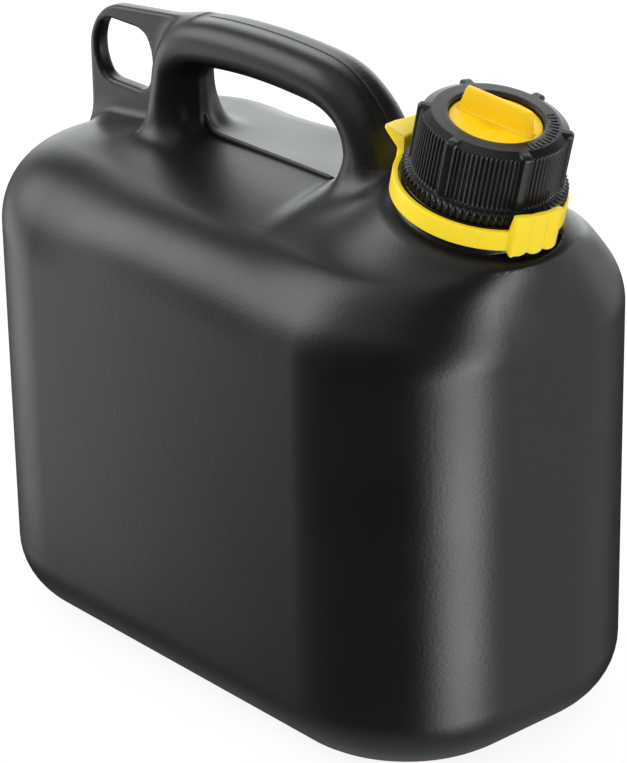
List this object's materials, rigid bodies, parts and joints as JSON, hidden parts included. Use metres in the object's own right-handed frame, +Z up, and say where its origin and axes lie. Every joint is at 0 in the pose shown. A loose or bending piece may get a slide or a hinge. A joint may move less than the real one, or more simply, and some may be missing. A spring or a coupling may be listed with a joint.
{
  "type": "jerry can",
  "caption": "Small black fuel can with a loop carry handle, a rear hanging eye, a tilted threaded neck and a yellow-locked screw cap.",
  "frame": {"origin": "middle of the tank's flat base, on the surface it stands on", "axes": "+X towards the filler neck and cap, +Z up, the long sides face -Y and +Y"},
  "size_m": [0.2672, 0.1474, 0.2562],
  "materials": {
    "black_moulding": "satin blow-moulded polyethylene",
    "black_cap": "semi-gloss injection-moulded",
    "yellow_disc": "semi-gloss warm yellow",
    "yellow_ring": "semi-gloss lemon yellow",
    "seal_rubber": "matte"
  },
  "bodies": {
    "tank": {"tank_shell": "black_moulding", "carry_handle": "black_moulding", "hanging_eye": "black_moulding", "filler_neck": "black_moulding"},
    "seal": {"gasket": "seal_rubber"},
    "disc": {"closure_disc": "yellow_disc"},
    "cap": {"screw_cap": "black_cap"},
    "lock_front": {"lock_front_pad": "yellow_ring"},
    "lock_rear": {"lock_rear_tab": "yellow_ring"},
    "lock_near": {"lock_near_arc": "yellow_ring"},
    "lock_far": {"lock_far_arc": "yellow_ring"}
  },
  "joints": [
    {"name": "closure_lift", "type": "slide", "parent": "tank", "child": "seal", "axis": [0.2419, 0, 0.9703], "range_m": [0, 0.0301]},
    {"name": "disc_turn", "type": "hinge", "parent": "seal", "child": "disc", "pos_m": [0.1059, 0, 0.246], "axis": [0.2419, 0, 0.9703], "continuous": true},
    {"name": "cap_turn", "type": "hinge", "parent": "seal", "child": "cap", "pos_m": [0.1059, 0, 0.246], "axis": [0.2419, 0, 0.9703], "range_deg": [0, 1800]},
    {"name": "lock_squeeze", "type": "slide", "parent": "tank", "child": "lock_front", "axis": [-0.9703, 0, 0.2419], "range_m": [0, 0.0015], "stiffness_N_per_m": 800},
    {"name": "lock_tab_press", "type": "slide", "parent": "tank", "child": "lock_rear", "axis": [0.9703, 0, -0.2419], "range_m": [0, 0.0015], "stiffness_N_per_m": 800},
    {"name": "lock_near_bow", "type": "slide", "parent": "tank", "child": "lock_near", "axis": [0, -1, 0], "range_m": [0, 0.0015], "stiffness_N_per_m": 800},
    {"name": "lock_far_bow", "type": "slide", "parent": "tank", "child": "lock_far", "axis": [0, 1, 0], "range_m": [0, 0.0015], "stiffness_N_per_m": 800}
  ],
  "couplings": [
    {"joint": "closure_lift", "follows": "cap_turn", "m_per_rad": 0.00095493},
    {"joint": "lock_tab_press", "follows": "lock_squeeze", "ratio": 1},
    {"joint": "lock_near_bow", "follows": "lock_squeeze", "ratio": 1},
    {"joint": "lock_far_bow", "follows": "lock_squeeze", "ratio": 1}
  ]
}
